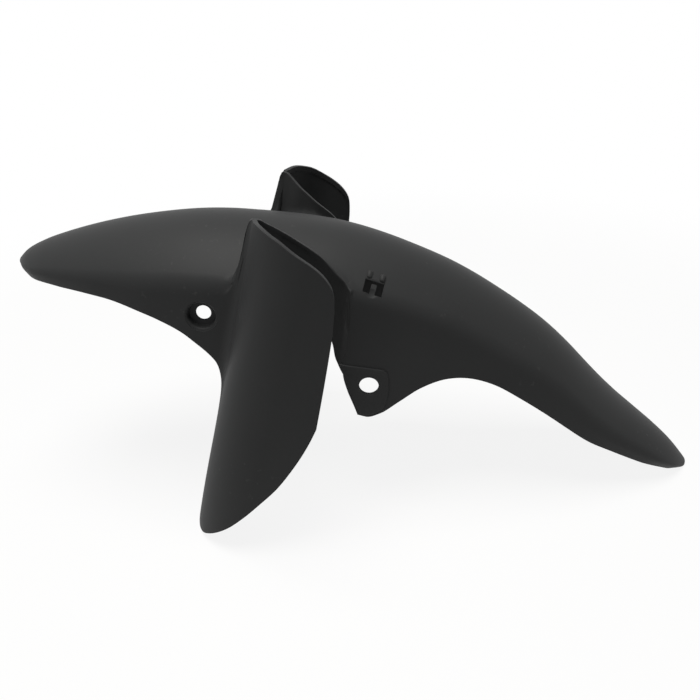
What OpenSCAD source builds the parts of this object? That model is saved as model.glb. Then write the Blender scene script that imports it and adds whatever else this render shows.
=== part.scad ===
// Front mudguard of a small motorcycle: one moulded shell with a crowned arch, two side skirts,
// a waist between the fork legs and a pair of curved shields that wrap the legs.
// Millimetres. +X runs to the rear, +Y to the far side, +Z up. The guard stands on the tips of its two
// shields and on its tail, with the origin on the ground under the middle of it.

/* [Arch] */
// Radius of the crown line about the wheel centre
crown_r = 332; // [322:1:345]
// Reach of the arch ahead of the vertical, in degrees
front_reach = 35.6; // [34:0.2:39]
// Reach of the arch behind the vertical, in degrees
rear_reach = 78.2; // [76:0.2:80]
// How far the front end lifts off the arch
front_lift = 41; // [20:1:50]
// How far the tail kicks out from the arch
tail_kick = 69; // [50:1:80]

/* [Cross section] */
// Thickness of the moulded wall
wall = 2.6; // [2.2:0.1:3.2]
// Width over the front skirts
front_w = 144; // [138:1:150]
// Width of the rear part
rear_w = 110; // [104:1:118]
// Width between the outer faces of the waist
waist_w = 108; // [102:1:112]
// Rise of the crown over its shoulders at the widest place
crown_rise = 36; // [28:1:40]
// Radius of the shoulder crease
shoulder_round = 9; // [6:0.5:12]

/* [Fork shields] */
// Lean of the fork legs in the standing position, in degrees
leg_lean = 14; // [12:0.5:16]
// Distance of the leg line ahead of the wheel centre
leg_ahead = 38; // [34:1:42]
// Width over the two shields
shield_w = 230; // [222:1:240]
// Radius of the hollow flare between skirt and shield
flare_round = 12; // [9:1:16]
// Radius of the shield's nose round the front of the leg
nose_round = 49; // [42:1:54]
// Height of the shield's rim over the wheel centre, along the leg
rim_top = 357; // [350:1:362]
// Height of the shield's tip over the wheel centre, along the leg
shield_tip = 76; // [70:1:86]
// How far the shield reaches behind the leg line
shield_back = 38; // [34:1:42]
// How far the shield leans forward of the leg line towards its tip
nose_lean = 4; // [0:0.5:8]
// Extra thickness of the rim
rim_bead = 0.9; // [0.4:0.1:1.5]

/* [Front fixings] */
// Bolt hole
front_bore_d = 12; // [9:0.1:13]
// Pocket round the bolt hole
pocket_d = 22; // [20:0.5:25]
// Depth of the pocket
pocket_depth = 5.5; // [4:0.5:8]

/* [Rear fixings] */
// Bolt hole in the tab
rear_bore_d = 16; // [12:0.1:17]
// Height of the raised pad round the hole
pad_step = 1.2; // [0.8:0.1:2]

/* [Hose clip] */
// Length of the clip window along the guard
window_len = 16; // [13:0.5:18]
// Width of the clip window across the guard
window_w = 12; // [10:0.5:14]
// Width of the tongue that stands in the window
tongue_w = 4.2; // [3:0.2:6]

/* [Hidden] */

// Smooth curve through [place, value] pairs: cubic pieces that never overshoot
function slope(k, i) = (k[i + 1][1] - k[i][1]) / (k[i + 1][0] - k[i][0]);
function bend(k, i) =
    i == 0 ? slope(k, 0)
    : i == len(k) - 1 ? slope(k, i - 1)
    : let (a = slope(k, i - 1), b = slope(k, i)) a * b <= 0 ? 0 : 2 * a * b / (a + b);
function span(k, x, i = 0) = i >= len(k) - 2 || x < k[i + 1][0] ? i : span(k, x, i + 1);
function through(k, x0) =
    let (
        x = max(k[0][0], min(k[len(k) - 1][0], x0)),
        i = span(k, x),
        h = k[i + 1][0] - k[i][0],
        u = (x - k[i][0]) / h,
        a = k[i][1],
        b = k[i + 1][1]
    )
    a + (b - a) * u * u * (3 - 2 * u)
    + h * u * (1 - u) * (bend(k, i) * (1 - u) - bend(k, i + 1) * u);
function mix(a, b, u) = a + (b - a) * u;
function ease(u) = let (v = max(0, min(1, u))) v * v * (3 - 2 * v);
function unit(v) = norm(v) > 0 ? v / norm(v) : v;

// Angles round the wheel, from the vertical, positive to the rear
split_at = -1; // where the shields leave the body
corner_at = 16.5; // where the rear skirts begin

// Course of the crown line off a true arc: shares of the front lift and of the tail kick
front_share = [
    [-front_reach, 0.87], [-front_reach + 1.8, 0.9], [-front_reach + 4.4, 0.85], [-front_reach + 7, 0.765],
    [-25, 0.647], [-20, 0.505], [-14, 0.362], [-8, 0.245], [-4, 0.168], [0, 0.092], [5, 0.028], [10, 0]
];
tail_share = [
    [12, 0], [24, -0.022], [32, 0], [38.5, 0.024], [43.5, 0.062], [48.5, 0.113], [53.5, 0.16], [57, 0.197],
    [60.5, 0.255], [64.6, 0.366], [68.6, 0.53], [72, 0.7], [75, 0.855], [rear_reach, 1]
];
// Half widths of the body at angles round the wheel
half_widths = [
    [-front_reach, 9], [-front_reach + 1, 19], [-front_reach + 3.5, 33], [-front_reach + 8, 46],
    [-front_reach + 14, 58], [-13, front_w / 2 - 4], [split_at, front_w / 2],
    [corner_at, rear_w / 2 + 9], [29, rear_w / 2 + 3], [46, rear_w / 2], [rear_reach - 16, rear_w / 2 - 7],
    [rear_reach - 6, rear_w / 2 - 19], [rear_reach - 2, rear_w / 2 - 31], [rear_reach, rear_w / 2 - 43]
];
// Radius of the hem at angles round the wheel: front skirt, then rear skirt with its bolt tab
front_hem = [
    [-front_reach, 356], [-32, 341], [-28.5, 328], [-25, 317.2], [-21, 305], [-17.5, 292.2],
    [-14, 278], [-11, 264.8], [-9, 253]
];
rear_hem = [
    [26.5, 195.5], [28.6, 197], [30.8, 207], [32.4, 224], [34.2, 242], [37.5, 262], [41, 274],
    [45, 282], [50, 288.2], [55, 295.4], [60, 304], [64, 313.4], [68, 329], [72, 348.4], [76, 373.5],
    [rear_reach, 388]
];
// How far, in degrees, the hem runs ahead of or behind its station near the fork legs
front_sweep = [[-30, 0], [-22, -0.6], [-12, -3.4], [split_at, -8]];
rear_sweep = [[corner_at, 10], [20, 8.8], [25, 6.6], [30, 4], [36, 1.4], [42, 0.3], [48, 0]];
// Front edge of the rear skirt: share of the depth against share of the sweep
tab_edge = [[0, 0], [0.2, 0.12], [0.4, 0.205], [0.58, 0.25], [0.7, 0.34], [0.82, 0.54], [0.93, 0.81], [1, 1]];

function half_w(t) = through(half_widths, t);
function crown_line(t) = crown_r + front_lift * through(front_share, t) + tail_kick * through(tail_share, t);
function rise(t) = crown_rise * 2 * half_w(t) / front_w;
function crown_at(t, q) = crown_line(t) - rise(t) * pow(q / half_w(t), 2);
function polar(t, q, r) = [r * sin(t), -q, r * cos(t)];

// Points across one half of a section, from the hem up the skirt, round the shoulder, over the crown
skirt_n = 5;
round_n = 4;
crown_n = 6;
half_n = skirt_n + round_n + crown_n;
split_j = skirt_n + round_n / 2;
across = 2 * half_n;

function is_front(t) = t < (split_at + corner_at) / 2;
function hem_angle(t) = t + (is_front(t) ? through(front_sweep, t) : through(rear_sweep, t));
function hem_radius(t) =
    is_front(t) ? through(front_hem, hem_angle(t)) : through(rear_hem, hem_angle(t));
function sweep_share(t, f) =
    is_front(t) ? f : mix(through(tab_edge, f), f, ease((t - corner_at) / 14));
tab_q = rear_w / 2 + 7;
function tab_blend(t, d) = is_front(t) ? 0 : ease((d - 12) / 66) * (1 - ease((t - 25) / 24));

// [distance from the middle plane, radius] of point j of the half section at angle t
function half_point(t, j) =
    let (
        w = half_w(t),
        rs = crown_line(t) - rise(t),
        depth = rs - hem_radius(t),
        g = atan(2 * rise(t) / w),
        f = min(shoulder_round, 0.45 * depth, 0.4 * w)
    )
    j <= skirt_n ? let (d = mix(depth, f, j / skirt_n)) [mix(w, tab_q, tab_blend(t, d)), rs - d]
    : j < skirt_n + round_n
        ? let (b = (j - skirt_n) / round_n, e = w - f * cos(g))
          [mix(w, e, b * b), mix(mix(rs - f, rs, b), mix(rs, crown_at(t, e), b), b)]
    : let (b = (j - skirt_n - round_n) / crown_n, q = (w - f * cos(g)) * (1 - b)) [q, crown_at(t, q)];

function section_point(t, j) =
    let (
        k = j <= half_n ? j : across - j,
        side = j <= half_n ? 1 : -1,
        p = half_point(t, k),
        rs = crown_line(t) - rise(t),
        share = max(0, (rs - p[1]) / (rs - hem_radius(t)))
    )
    polar(t + (hem_angle(t) - t) * sweep_share(t, share), side * p[0], p[1]);

// Frame of the fork legs: p to the rear across the leg, q outward, h up along the leg
function from_leg(p, q, h) =
    [-leg_ahead + p * cos(leg_lean) + h * sin(leg_lean), -q, -p * sin(leg_lean) + h * cos(leg_lean)];
function leg_p(x, z) = (x + leg_ahead) * cos(leg_lean) - z * sin(leg_lean);
function leg_h(x, z) = (x + leg_ahead) * sin(leg_lean) + z * cos(leg_lean);

// Plan of the shield, looking down the leg: hollow flare, nose, then straight along the outside
flare_turn = 75;
skirt_q = half_w(split_at);
plan_scale = (shield_w / 2 - skirt_q) / ((flare_round + nose_round) * (1 - cos(flare_turn)));
flare_r = flare_round * plan_scale;
nose_r = nose_round * plan_scale;
nose_end = 12;
flare_start = nose_end - (flare_r + nose_r) * sin(flare_turn);
flare_len = flare_r * flare_turn * PI / 180;
nose_len = nose_r * flare_turn * PI / 180;
function plan(a) =
    a < 0 ? [flare_start + a, skirt_q]
    : a < flare_len
        ? let (t = a / flare_r * 180 / PI) [flare_start + flare_r * sin(t), skirt_q + flare_r * (1 - cos(t))]
    : a < flare_len + nose_len
        ? let (t = flare_turn - (a - flare_len) / nose_r * 180 / PI)
          [nose_end - nose_r * sin(t), shield_w / 2 - nose_r * (1 - cos(t))]
    : [nose_end + a - flare_len - nose_len, shield_w / 2];
back_a = flare_len + nose_len + shield_back - nose_end;

// Ends of the shield's rows, as distance along the plan and height along the leg
root_foot = section_point(split_at, 0);
root_head = section_point(split_at, split_j);
foot_a = [
    [0, leg_p(root_foot[0], root_foot[2]) - flare_start], [0.06, -8], [0.1, 0], [0.14, 5.5], [0.18, 9.5],
    [0.22, 12], [0.28, 14], [0.34, 14.6], [0.4, 14.8], [0.44, 15.2], [0.475, 18], [0.5, 24], [0.53, 31],
    [0.56, 38.8], [0.64, 56.4], [0.7, 67.5], [0.76, 78.5], [0.82, 89], [0.88, back_a - 5],
    [0.93, back_a + 1], [0.97, back_a + 4.6], [1, back_a + 6.5]
];
foot_h = [
    [0, leg_h(root_foot[0], root_foot[2])], [0.06, 236], [0.1, 229.5], [0.14, 221], [0.18, 211],
    [0.22, 196], [0.28, 168], [0.34, 138], [0.4, shield_tip + 33], [0.44, shield_tip + 14],
    [0.475, shield_tip + 3], [0.5, shield_tip], [0.53, shield_tip + 2], [0.56, shield_tip + 8.5],
    [0.64, shield_tip + 28], [0.7, shield_tip + 44.5], [0.76, shield_tip + 63], [0.82, shield_tip + 82],
    [0.88, shield_tip + 101.6], [0.93, shield_tip + 118.5], [0.97, shield_tip + 132], [1, shield_tip + 143.5]
];
head_a = [
    [0, leg_p(root_head[0], root_head[2]) - flare_start], [0.03, 5.4], [0.06, 6.7], [0.085, 7.4], [0.11, 8.2],
    [0.135, 9.6], [0.17, 12], [0.22, 17], [0.34, 31], [0.5, 49], [0.64, 67], [0.78, 86], [0.87, back_a - 5],
    [0.94, back_a - 1], [1, back_a + 1.5]
];
head_h = [
    [0, leg_h(root_head[0], root_head[2])], [0.03, rim_top - 50], [0.06, rim_top - 38], [0.085, rim_top - 21],
    [0.11, rim_top - 9], [0.135, rim_top - 3], [0.17, rim_top - 0.5], [0.22, rim_top], [0.34, rim_top + 1.2],
    [0.5, rim_top - 0.2], [0.64, rim_top - 5.8], [0.78, rim_top - 14.5], [0.87, rim_top - 26],
    [0.94, rim_top - 41], [1, rim_top - 60]
];
shield_n = 27;
function shield_point(k, j) =
    let (
        w = k / shield_n,
        s = j / split_j,
        a = mix(through(foot_a, w), through(head_a, w), s),
        h = mix(through(foot_h, w), through(head_h, w), s),
        root = section_point(split_at, j),
        pa = leg_p(root[0], root[2]) - flare_start,
        ph = leg_h(root[0], root[2]),
        keep = 1 - ease(w / 0.13),
        da = pa - mix(through(foot_a, 0), through(head_a, 0), s),
        dh = ph - mix(through(foot_h, 0), through(head_h, 0), s),
        c = plan(a + da * keep),
        tall = h + dh * keep
    )
    from_leg(c[0] - nose_lean * ease((290 - tall) / 190) * (1 - keep),
        c[1] + (-root[1] - plan(pa)[1]) * keep, tall);

wall_from = -41.4;
wall_to = 51.8;

// Plan of the leg channel's inner wall: from inside the shield's nose along the waist to the rear skirt
wall_q = [
    [wall_from, 71], [-38.6, 71.9], [-36.4, 72.9], [-34, 72.6], [-27, 69], [-12, waist_w / 2 + 6],
    [10, waist_w / 2 + 0.5], [30, waist_w / 2], [40, waist_w / 2 + 1.5], [47, waist_w / 2 + 4.4],
    [wall_to, half_w(corner_at) - 0.9]
];
// Its thickness, which tapers into the sheet of the shield, its rim, its hem and its lean at the rear end
function wall_t(p) = wall * through([[wall_from, 0.4], [-38.8, 0.55], [-36.4, 1]], p);
rim_line = [
    [wall_from, rim_top - 65], [-39.6, rim_top - 55], [-38.4, rim_top - 44], [-37.6, rim_top - 26],
    [-37, rim_top - 11], [-36.2, rim_top - 3.5], [-35, rim_top - 1.6], [-31, rim_top - 1.6],
    [-25, rim_top - 4.4], [-15.7, rim_top - 9.6], [-8, rim_top - 13.4], [1.7, rim_top - 18.4],
    [11.6, rim_top - 23], [20, rim_top - 27.3], [28, rim_top - 32.5], [37, rim_top - 40], [wall_to, rim_top - 58]
];
wall_hem = [
    [wall_from, 285], [-34, 283], [0, 280], [30, 273], [38, 264.5], [42, 256], [44.5, 247.5], [47.5, 242], [wall_to, 236.5]
];
wall_lean = [[0, 0], [10, 1.6], [20, 3.6], [30, 5.6], [40, 6.9], [55, 8], [75, 9.3]];
// Outer surface of the body as rows of points from front to tail
front_n = 14;
waist_n = 12;
rear_n = 23;
last = front_n + waist_n + rear_n;
angles = concat(
    [for (i = [0:front_n]) mix(-front_reach, split_at, pow(i / front_n, 1.5))],
    [for (i = [1:waist_n]) let (u = i / waist_n) mix(split_at, corner_at, 0.45 * u + 0.55 * ease(u))],
    [for (i = [1:rear_n]) mix(corner_at, rear_reach, 1 - pow(1 - i / rear_n, 1.25))]
);
// In the waist only the crown goes on, out to the inner wall of the leg channel
function edge_q(t) = let (p = crown_at(t, 60) * sin(t - leg_lean) + leg_ahead * cos(leg_lean))
    through(wall_q, p) - wall_t(p) / 2 + 0.6;
function waist_point(t, j) =
    let (
        k = (j <= half_n ? j : across - j) - split_j,
        side = j <= half_n ? 1 : -1,
        b = k / (half_n - split_j),
        e = edge_q(t),
        q = e * (1 - (b < 0.2 ? b * 0.7 : 0.14 + (b - 0.2) * 0.86 / 0.8)),
        lift = 6 * ease((13 - t) / 7) * ease((t - split_at) / 3)
    )
    polar(t, side * q, crown_at(t, q) + lift * pow(max(0, 1 - (e - q) / 10), 2));
function body_point(i, j) =
    i <= front_n || i >= front_n + waist_n ? section_point(angles[i], j)
    : waist_point(angles[i], max(split_j, min(across - split_j, j)));

body = [for (i = [0:last]) [for (j = [0:across]) body_point(i, j)]];
shield = [for (k = [0:shield_n]) [for (j = [0:split_j]) k == 0 ? body[front_n][j] : shield_point(k, j)]];

// Inner surface: every point moved in by the wall, square to the surface
function in_skirt(j) = j < split_j || j > across - split_j;
function body_inner(i, j) =
    let (
        a = body[in_skirt(j) && i == front_n + waist_n ? i : max(0, i - 1)][j],
        b = body[in_skirt(j) && i == front_n ? i : min(last, i + 1)][j],
        c = body[i][max(0, j - 1)],
        d = body[i][min(across, j + 1)]
    )
    body[i][j] + wall * unit(cross(d - c, b - a));
function shield_inner(k, j) =
    let (
        a = shield[max(0, k - 1)][j],
        b = shield[min(shield_n, k + 1)][j],
        c = shield[k][max(0, j - 1)],
        d = shield[k][min(split_j, j + 1)],
        t = wall + (j == split_j && k > 2 ? rim_bead : 0)
    )
    shield[k][j] + t * unit(cross(d - c, b - a));
body_in = [for (i = [0:last]) [for (j = [0:across]) body_inner(i, j)]];
shield_in = [for (k = [0:shield_n]) [for (j = [0:split_j]) k == 0 ? body_in[front_n][j] : shield_inner(k, j)]];

function flip(p) = [p[0], -p[1], p[2]];
row = across + 1;
strip = split_j + 1;
body_count = (last + 1) * row;
shield_count = (shield_n + 1) * strip;
function at(i, j, inner) = (inner ? body_count : 0) + i * row + j;
function on(k, j, inner, far) =
    k == 0 ? at(front_n, far ? across - j : j, inner)
    : 2 * body_count + (far ? 2 * shield_count : 0) + (inner ? shield_count : 0) + k * strip + j;
function quad(a, b, c, d) = [[a, b, c], [a, c, d]];
function turned(q) = [for (f = q) [f[2], f[1], f[0]]];
function flat2(v) = [for (a = v) for (b = a) b];
function present(i, j) = !(i >= front_n && i < front_n + waist_n) || (j >= split_j && j < across - split_j);

shell_points = concat(
    flat2(body), flat2(body_in), flat2(shield), flat2(shield_in),
    [for (p = flat2(shield)) flip(p)], [for (p = flat2(shield_in)) flip(p)]
);
function body_quad(i, j, inner) =
    quad(at(i, j, inner), at(i, j + 1, inner), at(i + 1, j + 1, inner), at(i + 1, j, inner));
function shield_quad(k, j, inner, far) =
    quad(on(k, j, inner, far), on(k, j + 1, inner, far), on(k + 1, j + 1, inner, far), on(k + 1, j, inner, far));
// A strip of wall along a free edge that runs from point a to point b
function edge_faces(a, b, ai, bi) = quad(a, b, bi, ai);
shell_faces = flat2(concat(
    [for (i = [0:last - 1]) for (j = [0:across - 1]) if (present(i, j)) body_quad(i, j, false)],
    [for (i = [0:last - 1]) for (j = [0:across - 1]) if (present(i, j)) turned(body_quad(i, j, true))],
    [for (k = [0:shield_n - 1]) for (j = [0:split_j - 1]) shield_quad(k, j, false, false)],
    [for (k = [0:shield_n - 1]) for (j = [0:split_j - 1]) turned(shield_quad(k, j, true, false))],
    [for (k = [0:shield_n - 1]) for (j = [0:split_j - 1]) turned(shield_quad(k, j, false, true))],
    [for (k = [0:shield_n - 1]) for (j = [0:split_j - 1]) shield_quad(k, j, true, true)],
    // front end and tail
    [for (j = [0:across - 1]) turned(edge_faces(at(0, j, false), at(0, j + 1, false), at(0, j, true), at(0, j + 1, true)))],
    [for (j = [0:across - 1]) edge_faces(at(last, j, false), at(last, j + 1, false), at(last, j, true), at(last, j + 1, true))],
    // hems
    [for (i = [0:last - 1]) if (present(i, 0))
        edge_faces(at(i, 0, false), at(i + 1, 0, false), at(i, 0, true), at(i + 1, 0, true))],
    [for (i = [0:last - 1]) if (present(i, 0))
        turned(edge_faces(at(i, across, false), at(i + 1, across, false), at(i, across, true), at(i + 1, across, true)))],
    // edges of the waist and front edges of the rear skirts
    [for (i = [front_n:front_n + waist_n - 1])
        edge_faces(at(i, split_j, false), at(i + 1, split_j, false), at(i, split_j, true), at(i + 1, split_j, true))],
    [for (i = [front_n:front_n + waist_n - 1])
        turned(edge_faces(at(i, across - split_j, false), at(i + 1, across - split_j, false),
            at(i, across - split_j, true), at(i + 1, across - split_j, true)))],
    [for (j = [0:across - 1]) if (in_skirt(j) && in_skirt(j + 1) || j == split_j - 1 || j == across - split_j)
        let (i = front_n + waist_n)
        turned(edge_faces(at(i, j, false), at(i, j + 1, false), at(i, j, true), at(i, j + 1, true)))],
    // shields: lower edge, rim and rear edge
    [for (far = [false, true]) for (k = [0:shield_n - 1])
        let (f = edge_faces(on(k, 0, false, far), on(k + 1, 0, false, far), on(k, 0, true, far), on(k + 1, 0, true, far)))
        far ? turned(f) : f],
    [for (far = [false, true]) for (k = [0:shield_n - 1])
        let (f = edge_faces(on(k, split_j, false, far), on(k + 1, split_j, false, far), on(k, split_j, true, far), on(k + 1, split_j, true, far)))
        far ? f : turned(f)],
    [for (far = [false, true]) for (j = [0:split_j - 1])
        let (f = edge_faces(on(shield_n, j, false, far), on(shield_n, j + 1, false, far), on(shield_n, j, true, far), on(shield_n, j + 1, true, far)))
        far ? turned(f) : f]
));

module shell() polyhedron(shell_points, shell_faces, convexity = 10);

// Inner wall of a leg channel, a sheet that stands on the edge of the waist
wall_ps = concat(
    [for (i = [0:5]) mix(wall_from, -36, i / 5)],
    [for (i = [1:22]) mix(-36, wall_to, i < 4 ? i / 26 : mix(3 / 26, 1, 1 - pow(1 - (i - 3) / 19, 1.25)))]
);
wall_n = len(wall_ps) - 1;
wall_m = 4;
waist_edge = [for (i = [front_n:front_n + waist_n])
    let (b = body[i][split_j]) [leg_p(b[0], b[2]), leg_h(b[0], b[2])]];
function wall_mid(p) = [p, through(wall_q, p)];
function wall_row(m) =
    let (
        c = wall_mid(wall_ps[m]),
        d = unit(wall_mid(min(wall_to, c[0] + 0.5)) - wall_mid(max(wall_from, c[0] - 0.5))),
        n = [-d[1], d[0]],
        t = wall_t(c[0]),
        top = max(through(rim_line, c[0]), c[0] < -39.6 ? 0 : through(waist_edge, c[0]) + 0.3)
            - 1.6 * ease((c[0] - 47) / (wall_to - 47)),
        low = through(wall_hem, c[0]),
        u = (c[0] - wall_from) / (wall_to - wall_from)
    )
    [for (side = [0.5, -0.5]) for (v = [0:wall_m])
        let (
            h = side > 0 ? mix(top, low, v / wall_m) : mix(low, top, v / wall_m),
            p = c[0] + side * t * n[0] + pow(u, 3) * through(wall_lean, top - h),
            q = c[1] + side * t * n[1] - 1.9 * pow(u, 8) * ease((298 - h) / 55)
        )
        from_leg(p, q, h)];
wall_points = [for (m = [0:wall_n]) wall_row(m)];
wall_ring = 2 * (wall_m + 1);
module channel_wall()
    polyhedron(flat2(wall_points), flat2(concat(
        [for (m = [0:wall_n - 1]) for (v = [0:wall_ring - 1])
            let (w = (v + 1) % wall_ring)
            quad(m * wall_ring + v, (m + 1) * wall_ring + v, (m + 1) * wall_ring + w, m * wall_ring + w)],
        [for (v = [0:wall_m - 1])
            let (o = 0, a = v, b = v + 1, c = wall_ring - 2 - v, d = wall_ring - 1 - v) quad(o + a, o + b, o + c, o + d)],
        [for (v = [0:wall_m - 1])
            let (o = wall_n * wall_ring, a = v, b = v + 1, c = wall_ring - 2 - v, d = wall_ring - 1 - v)
            turned(quad(o + a, o + b, o + c, o + d))]
    )), convexity = 6);

// Rounded front edge where a shield and its channel wall meet, wider at its foot on the crown
module nose_edge() hull()
    for (e = [
        [-36.7, 71.4, 289, 3], [-39.6, 70.6, 293, 2.8], [-36.6, 71.9, 304, 2.7],
        [-36.4, 72.8, rim_top - 5, 1.6], [-34.6, 74.2, 306, 1.6], [-34.8, 74.2, rim_top - 7, 1.6]
    ]) translate(from_leg(e[0], e[1], e[2])) sphere(r = e[3], $fn = 8);

// Rounded corner where the channel wall turns into the rear skirt
module rear_corner() hull()
    for (e = [[51.2, 1.8, 306.4, 1.3], [53.2, 1.3, 294, 1.3], [56.4, 1.4, 276, 1.2]])
        translate(from_leg(e[0], half_w(corner_at) - e[1], e[2])) sphere(r = e[3], $fn = 8);

// Front bolt: a cup behind the skirt, a pocket with a flat floor and a round hole through it
front_bolt = [-33.3, 274.1];
front_q = half_w(atan(front_bolt[0] / front_bolt[1]));
module across_at(c, q, h, d)
    translate([c[0], -q, c[1]]) rotate([-90, 0, 0]) cylinder(h = h, d = d, $fn = 48);
module front_cup() across_at(front_bolt, front_q - wall / 2, pocket_depth + wall / 2, pocket_d + 2 * wall);
module front_cut() {
    across_at(front_bolt, front_q + 6, pocket_depth + 6, pocket_d);
    across_at(front_bolt, front_q + 6, 20, front_bore_d);
}

// Rear bolt: a raised pad on the tab of the rear skirt, with a round hole
rear_bolt = [95, 204.4];
pad = [
    [74.3, 224.6], [106.7, 219.2], [110, 216.5], [111.4, 211], [111.2, 200], [109, 188], [105, 181.6],
    [98.3, 177.5], [93, 175.6], [89.5, 177], [82, 197.6], [77.5, 214]
];
module rear_pad()
    translate([0, 2 - tab_q, 0]) rotate([90, 0, 0]) linear_extrude(height = pad_step + 2) polygon(pad);
module rear_cut() across_at(rear_bolt, tab_q + 6, 16, rear_bore_d);

// Hose clip on the shoulder: local x runs to the rear, y up to the crown, z out of the surface
clip_t = 19.2;
clip_q = 55;
clip_slope = atan(2 * rise(clip_t) * clip_q / pow(half_w(clip_t), 2));
module on_shoulder()
    translate(polar(clip_t, clip_q, crown_at(clip_t, clip_q)))
    rotate([0, clip_t, 0]) rotate([clip_slope, 0, 0]) children();
tongue_l = 0.68 * window_w;
module clip_cut() on_shoulder() {
    difference() {
        translate([-window_len / 2, -window_w / 2, -9]) cube([window_len, window_w, 14]);
        translate([-tongue_w / 2, -window_w / 2 - 1, -10]) cube([tongue_w, tongue_l + 1, 16]);
    }
    translate([0, -window_w / 2 - 1.5, 7]) sphere(r = 9, $fn = 24);
}
module clip_ribs() on_shoulder()
    for (x = [-1, 1]) translate([x * (window_len / 2 - 2.6), window_w / 2 + 0.3, -0.7])
        rotate([-90, 0, 0]) cylinder(h = 6.5, r = 2.6, $fn = 10);

// Height of the lowest points and middle of the length
outer = concat(flat2(body), flat2(shield));
low_z = min([for (p = concat(outer, flat2(shield_in), flat2(body_in))) p[2]]);
mid_x = (min([for (p = outer) p[0]]) + max([for (p = outer) p[0]])) / 2;

// Everything that is one run of curved sheet, before the fixings. The facets of the shields fall a hair
// short of their true curve, so the width over them is brought to the stated one
module moulding() resize([0, shield_w, 0]) union() {
    shell();
    for (side = [0, 1]) mirror([0, side, 0]) {
        channel_wall();
        nose_edge();
        rear_corner();
        clip_ribs();
    }
}

module mudguard() color("#2e2f31")
    translate([-mid_x, 0, -low_z]) difference() {
        union() {
            moulding();
            for (side = [0, 1]) mirror([0, side, 0]) {
                front_cup();
                rear_pad();
            }
        }
        for (side = [0, 1]) mirror([0, side, 0]) {
            front_cut();
            rear_cut();
            clip_cut();
        }
    }

mudguard();
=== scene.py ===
"""Front mudguard of a small motorcycle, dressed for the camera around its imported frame.

The guard is one moulded piece of matt black plastic. Its surfaces are worked out as grids of points in
millimetres round the wheel centre, moved into the frame's coordinates, and turned into a closed mesh in
metres.
"""

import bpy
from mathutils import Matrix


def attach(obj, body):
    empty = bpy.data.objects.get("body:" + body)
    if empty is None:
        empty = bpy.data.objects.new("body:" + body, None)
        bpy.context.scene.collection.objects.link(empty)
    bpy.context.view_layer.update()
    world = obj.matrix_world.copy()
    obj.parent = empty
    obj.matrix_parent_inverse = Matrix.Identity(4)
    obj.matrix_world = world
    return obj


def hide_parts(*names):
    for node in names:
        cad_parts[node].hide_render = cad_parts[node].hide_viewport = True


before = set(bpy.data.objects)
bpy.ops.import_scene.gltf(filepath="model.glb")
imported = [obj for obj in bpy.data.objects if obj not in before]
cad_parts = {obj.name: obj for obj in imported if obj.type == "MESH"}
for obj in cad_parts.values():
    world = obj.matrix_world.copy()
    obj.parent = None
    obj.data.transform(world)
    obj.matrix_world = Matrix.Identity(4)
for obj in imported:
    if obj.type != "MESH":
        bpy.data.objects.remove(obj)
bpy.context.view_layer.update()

import logging
import math
from dataclasses import dataclass
from enum import Enum
from typing import Any, Sequence

import bmesh
import bpy
import numpy as np
from mathutils import Matrix

LOG = logging.getLogger("mudguard")
Array = np.ndarray
MM = 0.001
# The frame's origin seen from the wheel centre, in millimetres
ORIGIN = np.array([89.2483, 0.0, 79.3445])
# Side of the photograph in pixels, and the width of the camera's sensor
PHOTO_PX, SENSOR = 700.0, 36.0
# What a lathe's profile takes to pass right through the sheet
THROUGH = 6


# Small helpers


def mix(a: Any, b: Any, u: Any) -> Any:
    """Straight blend from a to b as u goes from 0 to 1."""
    return a + (b - a) * u


def ease(u: Any) -> Array:
    """Smooth step: 0 below 0, 1 above 1, 3u^2 - 2u^3 between."""
    v = np.clip(u, 0.0, 1.0)
    return v * v * (3 - 2 * v)


def unit(v: Array) -> Array:
    """Vectors scaled to length one along the last axis."""
    return v / np.maximum(np.linalg.norm(v, axis=-1, keepdims=True), 1e-9)


def sind(t: Any) -> Array:
    """Sine of an angle in degrees."""
    return np.sin(np.radians(t))


def cosd(t: Any) -> Array:
    """Cosine of an angle in degrees."""
    return np.cos(np.radians(t))


class Curve:
    """Smooth curve through pairs of place and value, in cubic pieces that never overshoot."""

    def __init__(self, *pairs: Sequence[float]) -> None:
        """Keeps the knots and works out the slope at each.

        Args:
            pairs: place and value of each knot, with rising places.
        """
        self.x, self.y = np.array(pairs, float).T
        step = np.diff(self.y) / np.diff(self.x)
        a, b = step[:-1], step[1:]
        inner = np.where(a * b <= 0, 0.0, 2 * a * b / np.where(a + b == 0, 1.0, a + b))
        self.slope = np.concatenate([step[:1], inner, step[-1:]])

    def __call__(self, place: Any) -> Array:
        """Value at each place: the cubic piece between its two knots.

        Args:
            place: where to read the curve; clipped to its ends.

        Returns:
            Values, in the shape of place.
        """
        p = np.clip(np.asarray(place, float), self.x[0], self.x[-1])
        i = np.clip(np.searchsorted(self.x, p, side="right") - 1, 0, len(self.x) - 2)
        h = self.x[i + 1] - self.x[i]
        u = (p - self.x[i]) / h
        swing = self.slope[i] * (1 - u) - self.slope[i + 1] * u
        return self.y[i] + (self.y[i + 1] - self.y[i]) * u * u * (3 - 2 * u) + h * u * (1 - u) * swing


# Form of the guard


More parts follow.
